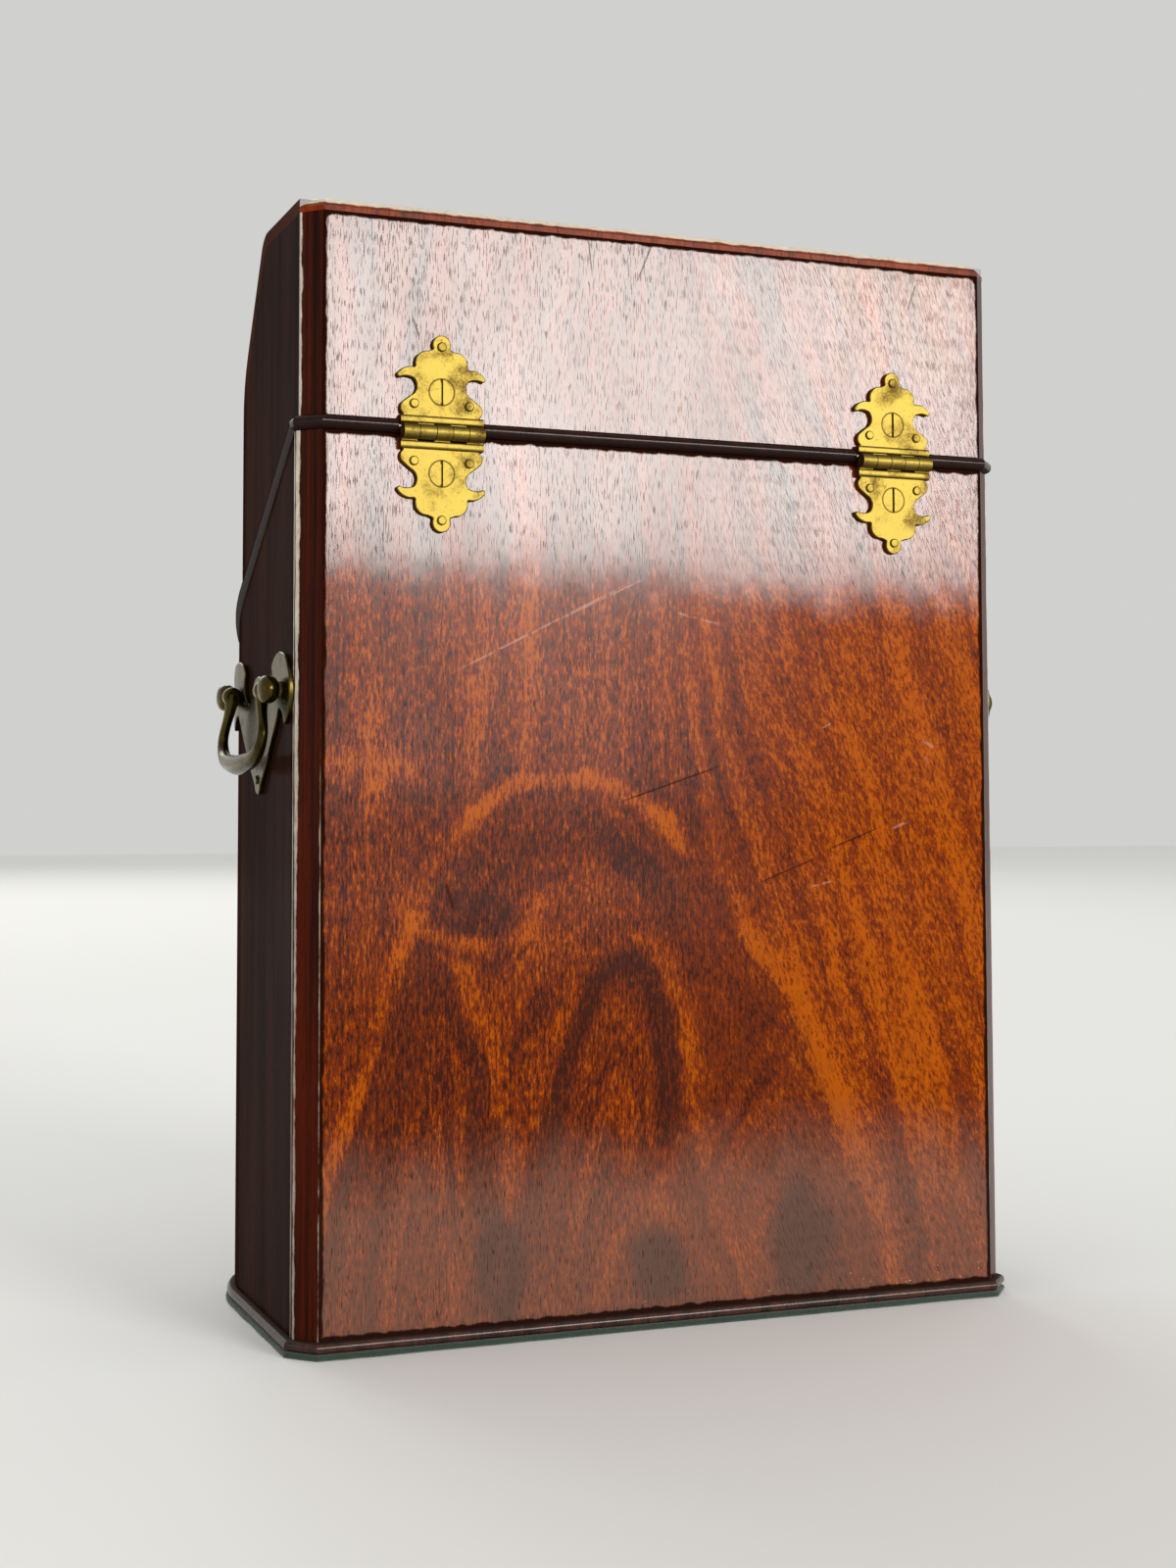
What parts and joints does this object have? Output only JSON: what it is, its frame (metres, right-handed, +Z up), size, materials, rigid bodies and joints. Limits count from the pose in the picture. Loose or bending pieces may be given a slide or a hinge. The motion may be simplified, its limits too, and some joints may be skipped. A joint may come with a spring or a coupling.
{
  "type": "letter box",
  "caption": "Slim upright desk letter box in veneered wood: bowed front, canted rear corners, sloping hinged lid, ornate brass strap hinges, swan-neck side handles and a letter rack inside.",
  "frame": {"origin": "centre of the flat baize underside, where the box stands", "axes": "+Z up through the lid, -Y out of the bowed front, +Y out of the hinged back, X across the width"},
  "size_m": [0.2672, 0.1422, 0.35],
  "materials": {
    "baize": "worn green baize",
    "moulding": "polished, rubbed on its crown",
    "inner_wood": "plain, satin",
    "crossbanding": "French polished, worn arris",
    "back_veneer": "French polished",
    "side_veneer": "French polished",
    "aged_brass": "aged, rubbed bright where it is held",
    "polished_brass": "polished",
    "lock_brass": "dull"
  },
  "bodies": {
    "carcass": {"back_panel": "back_veneer", "baize_foot": "baize", "base_board": "moulding", "body_hinge_brads": "polished_brass", "body_hinge_screws": "polished_brass", "corner_strip_left": "crossbanding", "corner_strip_right": "crossbanding", "divider_front": "inner_wood", "divider_rear": "inner_wood", "divider_runners_left": "inner_wood", "divider_runners_right": "inner_wood", "floor_board": "inner_wood", "front_panel": "side_veneer", "handle_left_backplate": "aged_brass", "handle_left_brad": "aged_brass", "handle_left_nuts": "aged_brass", "handle_left_posts": "aged_brass", "handle_right_backplate": "aged_brass", "handle_right_brad": "aged_brass", "handle_right_nuts": "aged_brass", "handle_right_posts": "aged_brass", "hinge_left_lower_leaf": "polished_brass", "hinge_left_pin": "polished_brass", "hinge_right_lower_leaf": "polished_brass", "hinge_right_pin": "polished_brass", "keyhole_escutcheon": "polished_brass", "lock_case": "lock_brass", "lock_screws": "lock_brass", "side_panel_left": "side_veneer", "side_panel_right": "side_veneer"},
    "lid": {"hinge_left_upper_leaf": "polished_brass", "hinge_right_upper_leaf": "polished_brass", "lid_back_panel": "back_veneer", "lid_bead_back": "moulding", "lid_bead_front": "moulding", "lid_corner_strip_left": "crossbanding", "lid_corner_strip_right": "crossbanding", "lid_edge_strip": "crossbanding", "lid_front_panel": "side_veneer", "lid_hinge_brads": "polished_brass", "lid_hinge_screws": "polished_brass", "lid_link_plate": "lock_brass", "lid_side_left": "side_veneer", "lid_side_right": "side_veneer", "lid_slope_board": "side_veneer", "lid_top_board": "side_veneer", "link_plate_screws": "lock_brass"},
    "bail_left": {"handle_left_bail": "aged_brass"},
    "bail_right": {"handle_right_bail": "aged_brass"},
    "bolt": {"lock_bolt": "lock_brass"}
  },
  "joints": [
    {"name": "lid_hinge", "type": "hinge", "parent": "carcass", "child": "lid", "pos_m": [0, 0.07, 0.2785], "axis": [-1, 0, 0], "range_deg": [0, 180]},
    {"name": "bail_right_swing", "type": "hinge", "parent": "carcass", "child": "bail_right", "pos_m": [0.12795, 0.02, 0.19949], "axis": [0, -1, 0], "range_deg": [0, 170]},
    {"name": "bail_left_swing", "type": "hinge", "parent": "carcass", "child": "bail_left", "pos_m": [-0.12795, 0.02, 0.19949], "axis": [0, 1, 0], "range_deg": [0, 170]},
    {"name": "bolt_slide", "type": "slide", "parent": "carcass", "child": "bolt", "axis": [-1, 0, 0], "range_m": [0, 0.005]}
  ]
}
